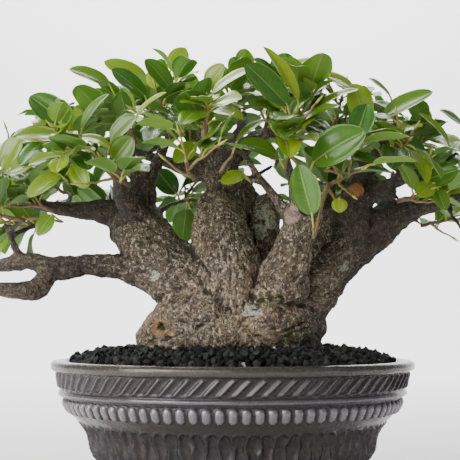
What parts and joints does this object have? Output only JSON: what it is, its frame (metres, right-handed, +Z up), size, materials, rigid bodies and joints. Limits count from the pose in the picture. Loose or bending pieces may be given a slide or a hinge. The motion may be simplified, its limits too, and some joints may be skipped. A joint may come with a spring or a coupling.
{
  "type": "potted bonsai tree",
  "caption": "Ficus bonsai with a stout forked trunk, spreading branches and a leafy crown, growing in grit in a round footed ceramic pot that stands on a table.",
  "frame": {"origin": "on the pot's axis, at the level of the surface that the pot stands on", "axes": "+X to the right of the front, along the crown's longest spread; -Y towards the front; +Z up"},
  "size_m": [0.3471, 0.2372, 0.2638],
  "materials": {
    "pot_ceramic": "satin dark grey-brown unglazed ceramic with pressed bands",
    "soil_grit": "loose angular near-black grit",
    "screen_plastic": "matt moulded mesh",
    "wire_aluminium": "plain soft wire",
    "bark": "rough grey-brown bark with pale lichen and moss",
    "leaf": "smooth waxy green leaf on a green-brown twig"
  },
  "bodies": {
    "root": {"pot": "pot_ceramic", "soil": "soil_grit", "drainage_screen": "screen_plastic", "screen_wire": "wire_aluminium", "trunk": "bark", "shoot_01": "leaf", "shoot_02": "leaf", "shoot_03": "leaf", "shoot_04": "leaf", "shoot_05": "leaf", "shoot_06": "leaf", "shoot_07": "leaf", "shoot_08": "leaf", "shoot_09": "leaf", "shoot_10": "leaf", "shoot_11": "leaf", "shoot_12": "leaf", "shoot_13": "leaf", "shoot_14": "leaf", "shoot_15": "leaf", "shoot_16": "leaf", "shoot_17": "leaf", "shoot_18": "leaf", "shoot_19": "leaf", "shoot_20": "leaf", "shoot_21": "leaf", "shoot_22": "leaf", "shoot_23": "leaf", "shoot_24": "leaf", "shoot_25": "leaf", "shoot_26": "leaf", "shoot_27": "leaf", "shoot_28": "leaf", "shoot_29": "leaf", "shoot_30": "leaf", "shoot_31": "leaf", "shoot_32": "leaf", "shoot_33": "leaf", "shoot_34": "leaf", "shoot_35": "leaf", "shoot_36": "leaf", "shoot_37": "leaf", "shoot_38": "leaf", "shoot_39": "leaf", "shoot_40": "leaf"}
  },
  "joints": []
}
